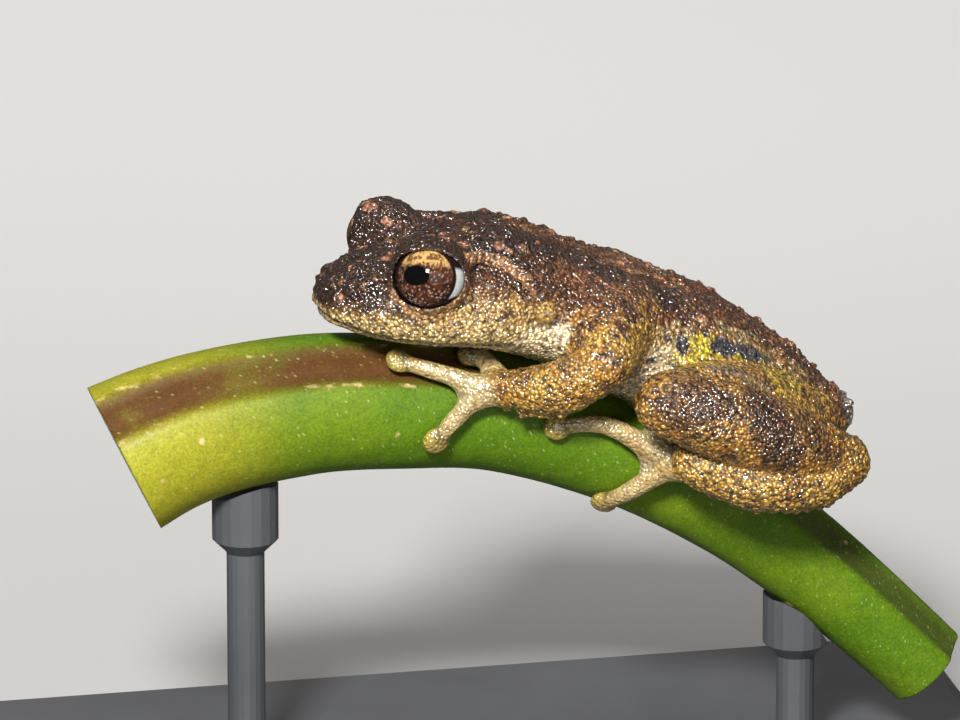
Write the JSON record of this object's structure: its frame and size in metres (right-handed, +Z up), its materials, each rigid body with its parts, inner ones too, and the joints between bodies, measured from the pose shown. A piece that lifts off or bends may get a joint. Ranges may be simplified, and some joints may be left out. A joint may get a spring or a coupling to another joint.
{
  "type": "serrate-legged treefrog on a stem",
  "caption": "Life-size still model of a warty brown treefrog with fringed limbs, gripping a short cut green stem held by a plain display stand.",
  "frame": {"origin": "centre of the underside of the stand's base", "axes": "+Z up, -X the way the frog faces, -Y the frog's left side"},
  "size_m": [0.064, 0.04, 0.0417],
  "materials": {
    "hide": "moist granular frog skin, brown above and pale below",
    "digit_skin": "thin moist skin of fingers and toes, with pale adhesive discs",
    "eye": "clear wet eyeball with a bronze iris and a black pupil",
    "stem": "smooth fresh green leaf stalk with pale specks and a brown channel",
    "stand_metal": "fine satin dark paint"
  },
  "bodies": {
    "root": {"head": "hide", "torso": "hide", "eye_left": "eye", "eye_right": "eye", "upper_arm_left": "hide", "upper_arm_right": "hide", "forearm_left": "hide", "forearm_right": "hide", "hand_left": "digit_skin", "hand_right": "digit_skin", "thigh_left": "hide", "thigh_right": "hide", "shank_left": "hide", "shank_right": "hide", "tarsus_left": "hide", "tarsus_right": "hide", "foot_left": "digit_skin", "foot_right": "digit_skin", "perch_stem": "stem", "stand_base": "stand_metal", "stand_rod_front": "stand_metal", "stand_rod_rear": "stand_metal"}
  },
  "joints": []
}
